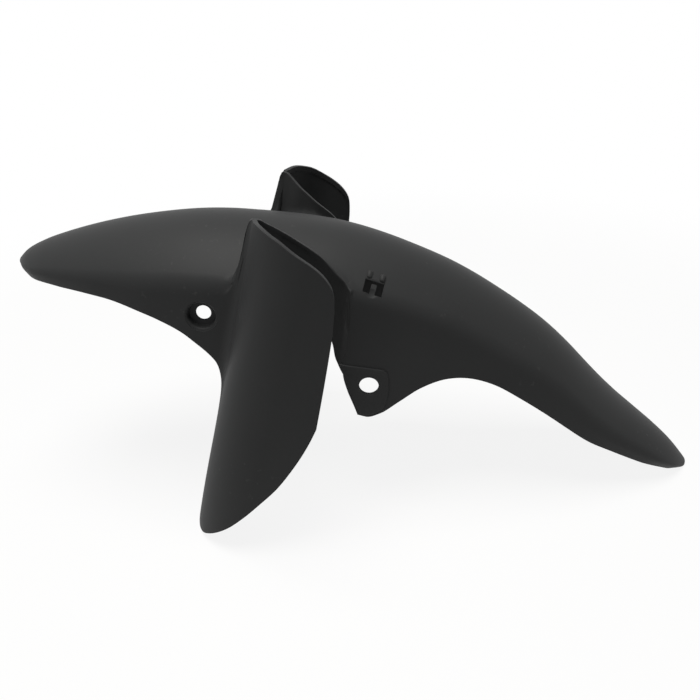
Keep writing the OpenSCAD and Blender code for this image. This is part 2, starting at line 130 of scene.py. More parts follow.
@dataclass
class GuardForm:
    """Shape of the moulding in millimetres, with the wheel centre as origin, +X to the rear and +Z up."""

    crown_r: float = 332.0
    front_reach: float = 35.6
    rear_reach: float = 78.2
    front_lift: float = 41.0
    tail_kick: float = 69.0
    wall: float = 2.6
    front_w: float = 144.0
    rear_w: float = 110.0
    waist_w: float = 108.0
    crown_rise: float = 36.0
    shoulder_round: float = 9.0
    leg_lean: float = 14.0
    leg_ahead: float = 38.0
    shield_w: float = 230.0
    flare_round: float = 12.0
    nose_round: float = 49.0
    rim_top: float = 357.0
    shield_tip: float = 76.0
    shield_back: float = 38.0
    nose_lean: float = 4.0
    split_at: float = -1.0
    corner_at: float = 15.7
    flare_turn: float = 75.0
    nose_end: float = 12.0
    wall_from: float = -41.4
    wall_to: float = 48.0

    def __post_init__(self) -> None:
        """Sets up the curves that depend on the sizes."""
        fr, rr, rw = self.front_reach, self.rear_reach, self.rear_w / 2
        self.leg_sin, self.leg_cos = (fn(math.radians(self.leg_lean)) for fn in (math.sin, math.cos))
        self.front_share = Curve(
            (-fr, 0.87), (-fr + 1.8, 0.9), (-fr + 4.4, 0.85), (-fr + 7, 0.765), (-25, 0.645), (-20, 0.492),
            (-14, 0.334), (-8, 0.212), (-4, 0.134), (0, 0.062), (5, 0.014), (10, 0))
        self.tail_share = Curve(
            (12, 0), (24, -0.022), (32, 0), (38.5, 0.024), (43.5, 0.062), (48.5, 0.113), (53.5, 0.16),
            (57, 0.197), (60.5, 0.255), (64.6, 0.366), (68.6, 0.53), (72, 0.7), (75, 0.855), (rr, 1))
        self.half_w = Curve(
            (-fr, 9), (-fr + 1, 19), (-fr + 3.5, 33), (-fr + 8, 46), (-fr + 14, 58),
            (-13, self.front_w / 2 - 4), (self.split_at, self.front_w / 2), (self.corner_at, rw + 9),
            (29, rw + 3), (46, rw), (rr - 16, rw - 7), (rr - 6, rw - 19), (rr - 2, rw - 31), (rr, rw - 43))
        self.front_hem = Curve(
            (-fr, 352.5), (-32, 340.2), (-28.5, 327.2), (-25, 316), (-21, 303.6), (-17.5, 291.2),
            (-14, 277.6), (-11, 264.8), (-9, 253))
        self.rear_hem = Curve(
            (25.7, 195.5), (28.0, 197), (30.6, 207), (32.4, 224), (34.2, 242), (37.5, 262), (41, 274),
            (45, 282), (50, 288.2), (55, 295.4), (60, 304), (64, 313.4), (68, 329), (72, 348.4), (76, 373.5),
            (rr, 388))
        self.front_sweep = Curve((-30, 0), (-22, -0.6), (-12, -3.4), (self.split_at, -8))
        self.rear_sweep = Curve(
            (self.corner_at, 10), (20, 8.8), (25, 6.6), (30, 4), (36, 1.4), (42, 0.3), (48, 0))
        self.tab_edge = Curve(
            (0, 0), (0.2, 0.12), (0.4, 0.205), (0.58, 0.25), (0.7, 0.34), (0.82, 0.54), (0.93, 0.81), (1, 1))
        self.tab_q = rw + 7
        self.skirt_q = float(self.half_w(self.split_at))
        scale = (self.shield_w / 2 - self.skirt_q) / (
            (self.flare_round + self.nose_round) * (1 - math.cos(math.radians(self.flare_turn))))
        self.flare_r, self.nose_r = self.flare_round * scale, self.nose_round * scale
        turn = math.radians(self.flare_turn)
        self.flare_start = self.nose_end - (self.flare_r + self.nose_r) * math.sin(turn)
        self.flare_len, self.nose_len = self.flare_r * turn, self.nose_r * turn
        self._shield_curves()
        self._wall_curves()

    def _shield_curves(self) -> None:
        """Ends of the shield's rows, as distance along its plan and height along the leg."""
        back = self.flare_len + self.nose_len + self.shield_back - self.nose_end
        foot = self.section(np.array(self.split_at), np.array(0.0), 1.0)
        head = self.section(np.array(self.split_at), np.array(1.5), 1.0)
        tip, top = self.shield_tip, self.rim_top
        self.foot_a = Curve(
            (0, self.leg_p(foot) - self.flare_start), (0.06, -8), (0.1, 0), (0.14, 5.5), (0.18, 9.5),
            (0.22, 12), (0.28, 14), (0.34, 14.6), (0.4, 14.8), (0.44, 15.2), (0.475, 18), (0.5, 24),
            (0.53, 31.4), (0.56, 40), (0.64, 58.2), (0.7, 69.6), (0.76, 80.8), (0.82, 91.2),
            (0.88, back - 3.4), (0.93, back + 1.6), (0.97, back + 4.6), (1, back + 6.5))
        self.foot_h = Curve(
            (0, self.leg_h(foot)), (0.06, 236), (0.1, 229.5), (0.14, 221), (0.18, 211), (0.22, 196),
            (0.28, 168), (0.34, 138), (0.4, tip + 33), (0.44, tip + 14), (0.475, tip + 3.4),
            (0.5, tip + 0.8), (0.53, tip + 2.6), (0.56, tip + 8.8), (0.64, tip + 28), (0.7, tip + 44.5),
            (0.76, tip + 63), (0.82, tip + 82), (0.88, tip + 101.6), (0.93, tip + 118.5), (0.97, tip + 132),
            (1, tip + 143.5))
        self.head_a = Curve(
            (0, self.leg_p(head) - self.flare_start), (0.03, 5.4), (0.06, 6.7), (0.085, 7.4), (0.11, 8.2),
            (0.135, 9.6), (0.17, 12), (0.22, 17), (0.34, 31), (0.5, 49), (0.64, 67), (0.78, 86),
            (0.87, back - 5), (0.94, back - 1), (1, back + 1.5))
        self.head_h = Curve(
            (0, self.leg_h(head)), (0.03, top - 50), (0.06, top - 38), (0.085, top - 21), (0.11, top - 9),
            (0.135, top - 3), (0.17, top - 0.5), (0.22, top), (0.34, top + 1.2), (0.5, top - 0.2),
            (0.64, top - 5.8), (0.78, top - 14.5), (0.87, top - 26), (0.94, top - 41), (1, top - 60))

    def _wall_curves(self) -> None:
        """Plan, rim, hem and lean of the inner wall of a leg channel."""
        top, lo, hi = self.rim_top, self.wall_from, self.wall_to
        self.wall_q = Curve(
            (lo, 71), (-38.6, 71.9), (-36.4, 72.9), (-34, 72.6), (-27, 69), (-12, self.waist_w / 2 + 6),
            (10, self.waist_w / 2 + 0.5), (27, self.waist_w / 2), (37, self.waist_w / 2 + 1.5),
            (43.4, self.waist_w / 2 + 4.4), (hi, float(self.half_w(self.corner_at)) - 0.9))
        self.rim_line = Curve(
            (lo, top - 65), (-39.6, top - 55), (-38.4, top - 44), (-37.6, top - 26), (-37, top - 11),
            (-36.2, top - 3.5), (-35, top - 1.6), (-31, top - 1.6), (-25, top - 4.4), (-15.7, top - 9.6),
            (-8, top - 13.4), (1.7, top - 18.4), (11.6, top - 23), (20, top - 27.3), (28, top - 32.8),
            (36, top - 39), (42, top - 48.5), (hi, top - 62.5))
        self.wall_hem = Curve(
            (lo, 285), (-34, 283), (0, 280), (27, 273), (34.6, 264.5), (38.5, 256), (41, 247.5), (44, 242),
            (hi, 236.5))
        self.wall_share = Curve((lo, 0.4), (-38.8, 0.55), (-36.4, 1), (hi, 1))
        self.wall_lean = Curve((0, 0), (10, 1.6), (20, 3.6), (30, 5.6), (40, 6.9), (55, 8), (75, 9.3))

    def crown_line(self, t: Array) -> Array:
        """Radius of the crown line: the arch, plus the front lift and the tail kick by their shares."""
        return self.crown_r + self.front_lift * self.front_share(t) + self.tail_kick * self.tail_share(t)

    def rise(self, t: Array) -> Array:
        """Height of the crown over its shoulders, in proportion to the half width."""
        return self.crown_rise * 2 * self.half_w(t) / self.front_w

    def crown_at(self, t: Array, q: Array) -> Array:
        """Radius of the crown at distance q from the middle: a parabola across the guard."""
        return self.crown_line(t) - self.rise(t) * (q / self.half_w(t)) ** 2

    def section(self, t: Array, v: Array, side: Any) -> Array:
        """Outer surface of the body at angle t round the wheel.

        Skirt for v from 0 to 1 (straight up from the hem), shoulder from 1 to 2 (a quadratic bend), crown
        from 2 to 3 (a parabola to the middle plane). The hem part of a section is swept along the guard.

        Args:
            t: angle from the vertical in degrees, positive to the rear.
            v: place across the half section.
            side: 1 for the near half, -1 for the far half.

        Returns:
            Points, with the shape of t and v broadcast.
        """
        front = t < (self.split_at + self.corner_at) / 2
        hem_t = t + np.where(front, self.front_sweep(t), self.rear_sweep(t))
        hem_r = np.where(front, self.front_hem(hem_t), self.rear_hem(hem_t))
        w, rs = self.half_w(t), self.crown_line(t) - self.rise(t)
        depth = rs - hem_r
        lean = np.arctan(2 * self.rise(t) / w)
        f = np.minimum(np.minimum(self.shoulder_round, 0.45 * depth), 0.4 * w)
        d = mix(depth, f, np.clip(v, 0, 1))
        tab = np.where(front, 0.0, ease((d - 12) / 66) * (1 - ease((t - 25) / 24)))
        skirt_q, skirt_r = mix(w, self.tab_q, tab), rs - d
        b = np.clip(v - 1, 0, 1)
        e = w - f * np.cos(lean)
        bend_q = mix(w, e, b * b)
        bend_r = mix(mix(rs - f, rs, b), mix(rs, self.crown_at(t, e), b), b)
        crown_q = e * (1 - np.clip(v - 2, 0, 1))
        q = np.where(v <= 1, skirt_q, np.where(v <= 2, bend_q, crown_q))
        r = np.where(v <= 1, skirt_r, np.where(v <= 2, bend_r, self.crown_at(t, crown_q)))
        share = np.maximum(0, (rs - r) / (rs - hem_r))
        sweep = np.where(front, share, mix(self.tab_edge(share), share, ease((t - self.corner_at) / 14)))
        angle = t + (hem_t - t) * sweep
        return np.stack([r * sind(angle), -side * q, r * cosd(angle)], -1)

    def edge_q(self, t: Array) -> Array:
        """Distance of the waist's wall from the middle plane at angle t."""
        p = self.crown_at(t, 60.0) * sind(t - self.leg_lean) + self.leg_ahead * cosd(self.leg_lean)
        return self.wall_q(p) - self.wall * self.wall_share(p) / 2 + 0.6

    def waist(self, t: Array, b: Array, side: Any) -> Array:
        """Outer surface of the waist: the crown out to the wall, b from 0 at the wall to 1 in the middle."""
        e = self.edge_q(t)
        q = e * (1 - np.where(b < 0.2, b * 0.7, 0.14 + (b - 0.2) * 0.86 / 0.8))
        lift = 6 * ease((13 - t) / 7) * ease((t - self.split_at) / 3)
        r = self.crown_at(t, q) + lift * np.maximum(0, 1 - (e - q) / 10) ** 2
        return np.stack([r * sind(t), -side * q, r * cosd(t)], -1)

    def from_leg(self, p: Array, q: Array, h: Array) -> Array:
        """Point from the frame of the fork leg: p to the rear, q outward, h up along the leg."""
        s, c = self.leg_sin, self.leg_cos
        p, q, h = np.broadcast_arrays(p, q, h)
        return np.stack([-self.leg_ahead + p * c + h * s, -q, -p * s + h * c], -1)

    def leg_p(self, xyz: Array) -> Array:
        """Distance of a point behind the leg line."""
        return (xyz[..., 0] + self.leg_ahead) * self.leg_cos - xyz[..., 2] * self.leg_sin

    def leg_h(self, xyz: Array) -> Array:
        """Height of a point along the leg."""
        return (xyz[..., 0] + self.leg_ahead) * self.leg_sin + xyz[..., 2] * self.leg_cos

    def waist_h(self, p: Array, count: int) -> Array:
        """Height along the leg of the waist's edge at places p behind the leg line, read off count points."""
        edge = self.waist(np.linspace(self.split_at, self.corner_at, count), np.zeros(1), 1.0)
        order = np.argsort(self.leg_p(edge))
        return np.interp(p, self.leg_p(edge)[order], self.leg_h(edge)[order])

    def plan(self, a: Array) -> tuple[Array, Array]:
        """Plan of the shield: straight, hollow flare, nose, straight again, by distance a along it.

        Args:
            a: distance along the plan from the start of the flare.

        Returns:
            Distance behind the leg line, and distance from the middle plane.
        """
        t1 = np.clip(a, 0, self.flare_len) / self.flare_r
        t2 = math.radians(self.flare_turn) - np.clip(a - self.flare_len, 0, self.nose_len) / self.nose_r
        after = np.maximum(0, a - self.flare_len - self.nose_len)
        p = np.where(a < self.flare_len,
                     self.flare_start + np.minimum(a, 0) + self.flare_r * np.sin(t1),
                     self.nose_end - self.nose_r * np.sin(t2) + after)
        q = np.where(a < self.flare_len,
                     self.skirt_q + self.flare_r * (1 - np.cos(t1)),
                     self.shield_w / 2 - self.nose_r * (1 - np.cos(t2)))
        return p, q

    def shield(self, w: Array, s: Array, v: Array) -> Array:
        """Outer surface of a near shield.

        Rows run from the foot line to the head line, both given along the plan and up the leg. Close to the
        body (w under 0.13) the points pass over smoothly into the body's own section.

        Args:
            w: place along the shield, 0 at the body, 1 at its rear edge.
            s: place up a row, 0 at the foot, 1 at the rim.
            v: the same place on the body's section, for the joint with it.

        Returns:
            Points, with the shape of w and s broadcast.
        """
        root = self.section(np.array(self.split_at), v, 1.0)
        pa, ph = self.leg_p(root) - self.flare_start, self.leg_h(root)
        keep = 1 - ease(w / 0.13)
        zero = np.array(0.0)
        da = pa - mix(self.foot_a(zero), self.head_a(zero), s)
        dh = ph - mix(self.foot_h(zero), self.head_h(zero), s)
        p, q = self.plan(mix(self.foot_a(w), self.head_a(w), s) + da * keep)
        tall = mix(self.foot_h(w), self.head_h(w), s) + dh * keep
        root_q = -root[..., 1] - self.plan(pa)[1]
        lean = self.nose_lean * ease((290 - tall) / 190)
        return self.from_leg(p - lean * (1 - keep), q + root_q * keep, tall)


def weld(points: Array, faces: Array) -> tuple[Array, Array]:
    """Drops points that no face uses and turns the faces outward if the signed volume is negative.

    Args:
        points: all points.
        faces: four point numbers a face.

    Returns:
        The points in use and the faces renumbered.
    """
    used, back = np.unique(faces, return_inverse=True)
    pts, quads = points[used], back.reshape(faces.shape)
    a, b, c, d = (pts[quads[:, k]] for k in range(4))
    volume = (np.einsum("ij,ij->i", a, np.cross(b, c)) + np.einsum("ij,ij->i", a, np.cross(c, d))).sum()
    return pts, quads if volume > 0 else quads[:, ::-1]


def quads_of(index: Array, keep: Array | None = None) -> Array:
    """Faces of a grid of point numbers.

    Args:
        index: grid of point numbers.
        keep: which cells to make; all of them if left out.

    Returns:
        Four point numbers a face.
    """
    q = np.stack([index[:-1, :-1], index[:-1, 1:], index[1:, 1:], index[1:, :-1]], -1)
    return q.reshape(-1, 4) if keep is None else q[keep]


def strip_of(outer: Array, inner: Array) -> Array:
    """Faces of the wall's edge between two rows of points that run side by side."""
    return np.stack([outer[:-1], outer[1:], inner[1:], inner[:-1]], -1)


@dataclass
class Lathe:
    """A turned shape: a profile of radius and height carried round an axis, closed at both ends."""

    profile: Sequence[tuple[float, float]]
    origin: Array
    axis: Array
    turns: int = 72

    def mesh(self) -> tuple[Array, Array]:
        """Points and faces: each profile point goes round by equal angles; the end rows sit on the axis.

        Returns:
            Points in millimetres, and faces of four numbers.
        """
        r, h = np.array(self.profile, float).T
        z = unit(np.asarray(self.axis, float))
        x = unit(np.cross(z, [0.3, 0.1, 0.9]))
        y = np.cross(z, x)
        ang = np.linspace(0, 2 * math.pi, self.turns, endpoint=False)
        ring = np.cos(ang)[:, None] * x + np.sin(ang)[:, None] * y
        pts = self.origin + r[:, None, None] * ring + h[:, None, None] * z
        index = np.arange(len(r) * self.turns).reshape(len(r), self.turns)
        closed = np.concatenate([index, index[:, :1]], 1)
        return weld(pts.reshape(-1, 3), quads_of(closed))


# Meshes


class Role(Enum):
    """What a helper shape does to the moulding."""

    JOIN = "UNION"
    CUT = "DIFFERENCE"


def link(name: str, data: Any, axes: Sequence[Array] = (), place: Sequence[float] = ()) -> bpy.types.Object:
    """A new object in the scene; with axes x, y and z it is turned to them and put at its place in metres."""
    obj = bpy.data.objects.new(name, data)
    bpy.context.scene.collection.objects.link(obj)
    if axes:
        m = np.eye(4)
        m[:3] = np.column_stack([*axes, place])
        obj.matrix_world = Matrix(m.tolist())
    return obj


def prism(low: Array, high: Array) -> tuple[Array, list[list[int]]]:
    """Points and faces of a solid between two outlines with as many points each."""
    n = len(low)
    ring = list(range(n))
    sides = [[a, (a + 1) % n, (a + 1) % n + n, a + n] for a in ring]
    return np.concatenate([low, high]), [ring, [a + n for a in ring[::-1]]] + sides


def new_object(name: str, points: Array, faces: Any) -> bpy.types.Object:
    """A mesh object from points in millimetres, in metres at the origin.

    Args:
        name: the object's name.
        points: points in the frame's coordinates.
        faces: lists of point numbers.

    Returns:
        The new object, linked to the scene.
    """
    mesh = bpy.data.meshes.new(name)
    mesh.from_pydata((points * MM).tolist(), [], faces.tolist() if isinstance(faces, Array) else faces)
    mesh.update()
    obj = link(name, mesh)
    if len(mesh.polygons) > 1:
        close_up(obj)
    return obj


def close_up(obj: bpy.types.Object) -> None:
    """Joins points that lie together and turns all faces outward."""
    bm = bmesh.new()
    bm.from_mesh(obj.data)
    bmesh.ops.remove_doubles(bm, verts=bm.verts, dist=1e-6)
    bmesh.ops.dissolve_degenerate(bm, edges=bm.edges, dist=1e-7)
    bmesh.ops.recalc_face_normals(bm, faces=bm.faces)
    if bm.calc_volume(signed=True) < 0:
        bmesh.ops.reverse_faces(bm, faces=bm.faces)
    open_edges = sum(1 for e in bm.edges if not e.is_manifold)
    if open_edges:
        LOG.warning("%s has %d open edges", obj.name, open_edges)
    bm.to_mesh(obj.data)
    bm.free()


def settle(obj: bpy.types.Object) -> None:
    """Replaces an object's mesh with the result of its modifiers."""
    graph = bpy.context.evaluated_depsgraph_get()
    done = bpy.data.meshes.new_from_object(obj.evaluated_get(graph))
    old = obj.data
    obj.modifiers.clear()
    obj.data = done
    bpy.data.meshes.remove(old)


def soften(obj: bpy.types.Object, width: float, segments: int = 3, angle: float = 50.0) -> None:
    """Rounds the sharp edges of a mesh.

    Args:
        obj: the object.
        width: size of the rounding in millimetres.
        segments: faces across the rounding.
        angle: smallest angle between faces, in degrees, that counts as an edge.
    """
    bevel = obj.modifiers.new("edges", "BEVEL")
    bevel.limit_method = "ANGLE"
    bevel.angle_limit = math.radians(angle)
    bevel.width = width * MM
    bevel.segments = segments
    bevel.profile = 0.5
    bevel.use_clamp_overlap = True
    settle(obj)


def combine(body: bpy.types.Object, other: bpy.types.Object, role: Role) -> None:
    """Joins or cuts one closed mesh with another and removes the helper."""
    op = body.modifiers.new("op", "BOOLEAN")
    op.operation = role.value
    op.solver = "MANIFOLD"
    op.object = other
    settle(body)
    mesh = other.data
    bpy.data.objects.remove(other)
    bpy.data.meshes.remove(mesh)


@dataclass
class Mudguard:
    """The moulded guard: arch, skirts, shields, leg channels, fixings and hose clips."""

    form: GuardForm
    shift: Array
    skirt_n: int = 28
    round_n: int = 8
    crown_n: int = 16
    front_n: int = 60
    waist_n: int = 24
    rear_n: int = 96
    shield_n: int = 100
    edge_round: float = 0.9
    pocket_depth: float = 5.5
    front_bolt: tuple[float, float] = (-33.3, 274.1)
    rear_bolt: tuple[float, float] = (95.0, 204.4)
    pad_rise: float = 1.2
    clip_t: float = 19.2
    clip_q: float = 55.0
    smooth_below: float = 38.0

    def __post_init__(self) -> None:
        """Counts the grid's rows."""
        self.half_n = self.skirt_n + self.round_n + self.crown_n
        self.split_j = self.skirt_n + self.round_n // 2
        self.across = 2 * self.half_n
        self.last = self.front_n + self.waist_n + self.rear_n

    def shell(self) -> tuple[Array, Array]:
        """Closed surface of arch, skirts and shields.

        The outer surface is a grid of sections round the wheel; in the waist only the crown goes on, and at
        the front skirts' rear ends each side passes into its shield. The inner surface is the outer one moved
        in by the wall along the cross product of the grid's two directions.

        Returns:
            Points in the frame's coordinates, and faces.
        """
        f, n = self.form, self
        half_v = np.concatenate([np.linspace(0, 1, n.skirt_n + 1), 1 + np.linspace(0, 1, n.round_n + 1)[1:],
                                 2 + np.linspace(0, 1, n.crown_n + 1)[1:]])
        j = np.arange(n.across + 1)
        jj = np.minimum(j, n.across - j)
        side = np.where(j <= n.half_n, 1.0, -1.0)
        u = np.linspace(0, 1, n.waist_n + 1)[1:]
        angles = np.concatenate([
            mix(-f.front_reach, f.split_at, np.linspace(0, 1, n.front_n + 1) ** 1.4),
            mix(f.split_at, f.corner_at, 0.45 * u + 0.55 * ease(u)),
            mix(f.corner_at, f.rear_reach, 1 - (1 - np.linspace(0, 1, n.rear_n + 1)[1:]) ** 1.2)])
        body = f.section(angles[:, None], half_v[jj][None, :], side[None, :])
        rows = slice(n.front_n + 1, n.front_n + n.waist_n)
        b = (np.maximum(jj, n.split_j) - n.split_j) / (n.half_n - n.split_j)
        body[rows] = f.waist(angles[rows, None], b[None, :], side[None, :])
        w = np.linspace(0, 1, n.shield_n + 1)[:, None]
        v = half_v[: n.split_j + 1][None, :]
        s = np.where(v <= 1, v * 5 / 7, (5 + (v - 1) * 4) / 7)
        tall = f.head_h(w) - f.foot_h(w)
        depths = np.array([0.0, 0.9, 1.8, 2.7, 3.6, 4.4, 5.1, 5.8, 7.5, 10.0])
        lower = np.linspace(0, 1, n.split_j + 2 - len(depths))[None, :] * (1 - depths[-1] / tall)
        gathered = np.concatenate([lower[:, :-1], 1 - depths[None, ::-1] / tall], 1)
        s = mix(s, gathered, ease(w / 0.07))
        v = np.where(s <= 5 / 7, s * 7 / 5, 1 + (7 * s - 5) / 4)
        shield = f.shield(w, s, v)
        shield[0] = body[n.front_n, : n.split_j + 1]
        band = 0.9 * ease((5.6 - (1 - s) * tall) / 1.2) * ease((w - 0.05) / 0.05)

        skirt = (j < n.split_j) | (j > n.across - n.split_j)
        i = np.arange(n.last + 1)[:, None]
        before = np.where(skirt & (i == n.front_n + n.waist_n), i, np.maximum(i - 1, 0))
        after = np.where(skirt & (i == n.front_n), i, np.minimum(i + 1, n.last))
        left, right = np.maximum(j - 1, 0), np.minimum(j + 1, n.across)
        body_in = body + f.wall * unit(np.cross(body[:, right] - body[:, left],
                                                body[after, j[None, :]] - body[before, j[None, :]]))
        k = np.arange(n.shield_n + 1)
        c = np.arange(n.split_j + 1)
        ks, cs = n.shield_n, n.split_j
        normal = unit(np.cross(shield[:, np.minimum(c + 1, cs)] - shield[:, np.maximum(c - 1, 0)],
                               shield[np.minimum(k + 1, ks)] - shield[np.maximum(k - 1, 0)]))
        shield_in = shield + (f.wall + band)[..., None] * normal
        shield_in[0] = body_in[n.front_n, : cs + 1]

        flip = np.array([1.0, -1.0, 1.0])
        points = np.concatenate([x.reshape(-1, 3) for x in
                                 (body, body_in, shield, shield_in, shield * flip, shield_in * flip)])
        size, ssize = (n.last + 1) * (n.across + 1), (ks + 1) * (cs + 1)
        out = np.arange(size).reshape(n.last + 1, n.across + 1)
        inn = out + size
        near, near_in, far, far_in = (2 * size + m * ssize + np.arange(ssize).reshape(ks + 1, cs + 1)
                                      for m in range(4))
        near[0], near_in[0] = out[n.front_n, : cs + 1], inn[n.front_n, : cs + 1]
        far[0], far_in[0] = out[n.front_n, n.across - c], inn[n.front_n, n.across - c]

        cell_i = np.arange(n.last)[:, None]
        cell_j = np.arange(n.across)[None, :]
        keep = ~((cell_i >= n.front_n) & (cell_i < n.front_n + n.waist_n)) | (
            (cell_j >= n.split_j) & (cell_j < n.across - n.split_j))
        turned = lambda q: q[:, ::-1]
        lo, hi = n.front_n, n.front_n + n.waist_n
        left_cols, right_cols = slice(0, n.split_j + 1), slice(n.across - n.split_j, n.across + 1)
        faces = [
            quads_of(out, keep), turned(quads_of(inn, keep)),
            quads_of(near), turned(quads_of(near_in)), turned(quads_of(far)), quads_of(far_in),
            turned(strip_of(out[0], inn[0])), strip_of(out[-1], inn[-1]),
            strip_of(out[: lo + 1, 0], inn[: lo + 1, 0]), strip_of(out[hi:, 0], inn[hi:, 0]),
            turned(strip_of(out[: lo + 1, -1], inn[: lo + 1, -1])),
            turned(strip_of(out[hi:, -1], inn[hi:, -1])),
            strip_of(out[lo:hi + 1, n.split_j], inn[lo:hi + 1, n.split_j]),
            turned(strip_of(out[lo:hi + 1, n.across - n.split_j], inn[lo:hi + 1, n.across - n.split_j])),
            turned(strip_of(out[hi, left_cols], inn[hi, left_cols])),
            turned(strip_of(out[hi, right_cols], inn[hi, right_cols])),
            strip_of(near[:, 0], near_in[:, 0]), turned(strip_of(far[:, 0], far_in[:, 0])),
            turned(strip_of(near[:, -1], near_in[:, -1])), strip_of(far[:, -1], far_in[:, -1]),
            strip_of(near[-1], near_in[-1]), turned(strip_of(far[-1], far_in[-1])),
        ]
        points, quads = weld(points, np.concatenate(faces))
        return points + self.shift, quads

    def channel_wall(self, side: float) -> tuple[Array, Array]:
        """Inner wall of a leg channel: a sheet along its plan, from its rim down to its hem.

        Args:
            side: 1 for the near side, -1 for the far side.

        Returns:
            Points in the frame's coordinates, and faces.
        """
        f = self.form
        wm = 16
        p0 = np.concatenate([np.linspace(f.wall_from, -36, 20)[:-1], mix(-36, f.wall_to,
                             1 - (1 - np.linspace(0, 1, 70)) ** 1.15)])
        q0 = f.wall_q(p0)
        dp = np.minimum(f.wall_to, p0 + 0.5) - np.maximum(f.wall_from, p0 - 0.5)
        dq = f.wall_q(p0 + 0.5) - f.wall_q(p0 - 0.5)
        d = unit(np.stack([dp, dq], -1))
        normal = np.stack([-d[:, 1], d[:, 0]], -1)
        thick = (f.wall * f.wall_share(p0))[:, None]
        stands = np.where(p0 < -39.6, 0, f.waist_h(p0, 60) + 0.3)
        top = np.maximum(f.rim_line(p0), stands) - 1.6 * ease((p0 - f.wall_to) / 4.8 + 1)
        low = f.wall_hem(p0)
        u = ((p0 - f.wall_from) / (f.wall_to - f.wall_from))[:, None]
        drop = (top - low)[:, None]
        rim = np.array([0.0, 0.9, 1.8, 2.7, 3.5, 4.3])[None, :]
        depth = np.concatenate([rim + 0 * drop, mix(6.0, drop, np.linspace(0, 1, wm - 5)[None, :])], 1)
        sheets = []
        bead = ease((4.0 - depth) / 1.4) * ease((f.wall_to - 5.8 - p0[:, None]) / 6)
        h = top[:, None] - depth
        for sign, extra in ((0.5, 0.8), (-0.5, 0.0)):
            swell = sign * (thick + extra * bead)
            p = p0[:, None] + swell * normal[:, :1] + u ** 3 * f.wall_lean(top[:, None] - h)
            q = q0[:, None] + swell * normal[:, 1:] - 1.9 * u ** 8 * ease((298 - h) / 55)
            sheets.append(f.from_leg(p, q, h))
        outer, inner = sheets
        pts = np.concatenate([outer.reshape(-1, 3), inner.reshape(-1, 3)]) * [1.0, side, 1.0]
        o = np.arange(len(p0) * (wm + 1)).reshape(len(p0), wm + 1)
        i = o + o.size
        faces = np.concatenate([
            quads_of(o), quads_of(i)[:, ::-1], strip_of(o[:, 0], i[:, 0])[:, ::-1],
            strip_of(o[:, -1], i[:, -1]), strip_of(o[0], i[0]), strip_of(o[-1], i[-1])[:, ::-1]])
        points, quads = weld(pts, faces)
        return points + self.shift, quads

    def put(self, points: Any, side: float) -> Array:
        """Points of the near side, round the wheel centre, on the given side in the frame's coordinates."""
        return np.asarray(points, float) * [1.0, side, 1.0] + self.shift

    def bolt_places(self, side: float) -> list[tuple[Role, bpy.types.Object]]:
        """Cup, pocket and bore of the front bolt, and the bore of the rear bolt, with rounded lips.

        Args:
            side: 1 for the near side, -1 for the far side.

        Returns:
            Helper shapes with what they do.
        """
        f = self.form
        out = np.array([0.0, -side, 0.0])
        (fx, fz), (rx, rz) = self.front_bolt, self.rear_bolt
        fq = float(f.half_w(math.degrees(math.atan(fx / fz))))
        rq = f.tab_q + self.pad_rise
        depth, w = self.pocket_depth, f.wall
        cup = [(0, -depth - w / 2), (11, -depth - w / 2), (12.6, -depth - w / 2 + 0.5), (13.4, -depth + 0.3),
               (13.6, -depth + 1.6), (13.6, -w / 2), (0, -w / 2)]
        pocket = [(0, -depth), (9.8, -depth), (10.6, -depth + 0.35), (11, -depth + 1.2), (11, -1.3),
                  (11.25, -0.55), (11.9, 0.05), (12.9, 0.35), (14, THROUGH), (0, THROUGH)]
        bore = [(0, -20), (6, -20), (6, -depth - 0.7), (6.25, -depth - 0.25), (6.8, -depth + 0.05),
                (7.4, -depth + 1.0), (0, -depth + 1.0)]
        rear = [(0, -16), (9.3, -16), (9.3, -w - 1.4), (8.25, -w - 1.0), (8, -w - 0.3), (8, -0.7),
                (8.25, -0.25), (9.1, 0.1), (9.4, THROUGH), (0, THROUGH)]
        places = [(Role.JOIN, cup, fx, fz, fq), (Role.CUT, pocket, fx, fz, fq), (Role.CUT, bore, fx, fz, fq),
                  (Role.CUT, rear, rx, rz, rq)]
        result = []
        for n, (role, profile, x, z, q) in enumerate(places):
            pts, quads = Lathe(profile, self.put([x, -q, z], side), out).mesh()
            result.append((role, new_object(f"bolt_{n}_{side:+.0f}", pts, quads)))
        return result

    def blended(self, name: str, balls: Sequence[tuple[float, ...]], side: float) -> bpy.types.Object:
        """A rounded lump: the convex skin round a few balls given in the frame of the fork leg.

        Args:
            name: the helper's name.
            balls: place behind the leg line, out from the middle, up the leg, and radius, of each ball.
            side: 1 for the near side, -1 for the far side.

        Returns:
            The helper object.
        """
        polar = np.linspace(0, math.pi, 13)[:, None]
        round_ = np.linspace(0, 2 * math.pi, 25)[None, :-1]
        ball = np.stack([np.sin(polar) * np.cos(round_), np.sin(polar) * np.sin(round_),
                         np.cos(polar) + 0 * round_], -1).reshape(-1, 3)
        pts = self.put(np.concatenate([self.form.from_leg(*b[:3]) + b[3] * ball for b in balls]), side)
        bm = bmesh.new()
        for co in (pts * MM).tolist():
            bm.verts.new(co)
        bmesh.ops.convex_hull(bm, input=bm.verts)
        bmesh.ops.delete(bm, geom=[v for v in bm.verts if not v.link_faces], context="VERTS")
        mesh = bpy.data.meshes.new(name)
        bm.to_mesh(mesh)
        bm.free()
        obj = link(name, mesh)
        close_up(obj)
        return obj

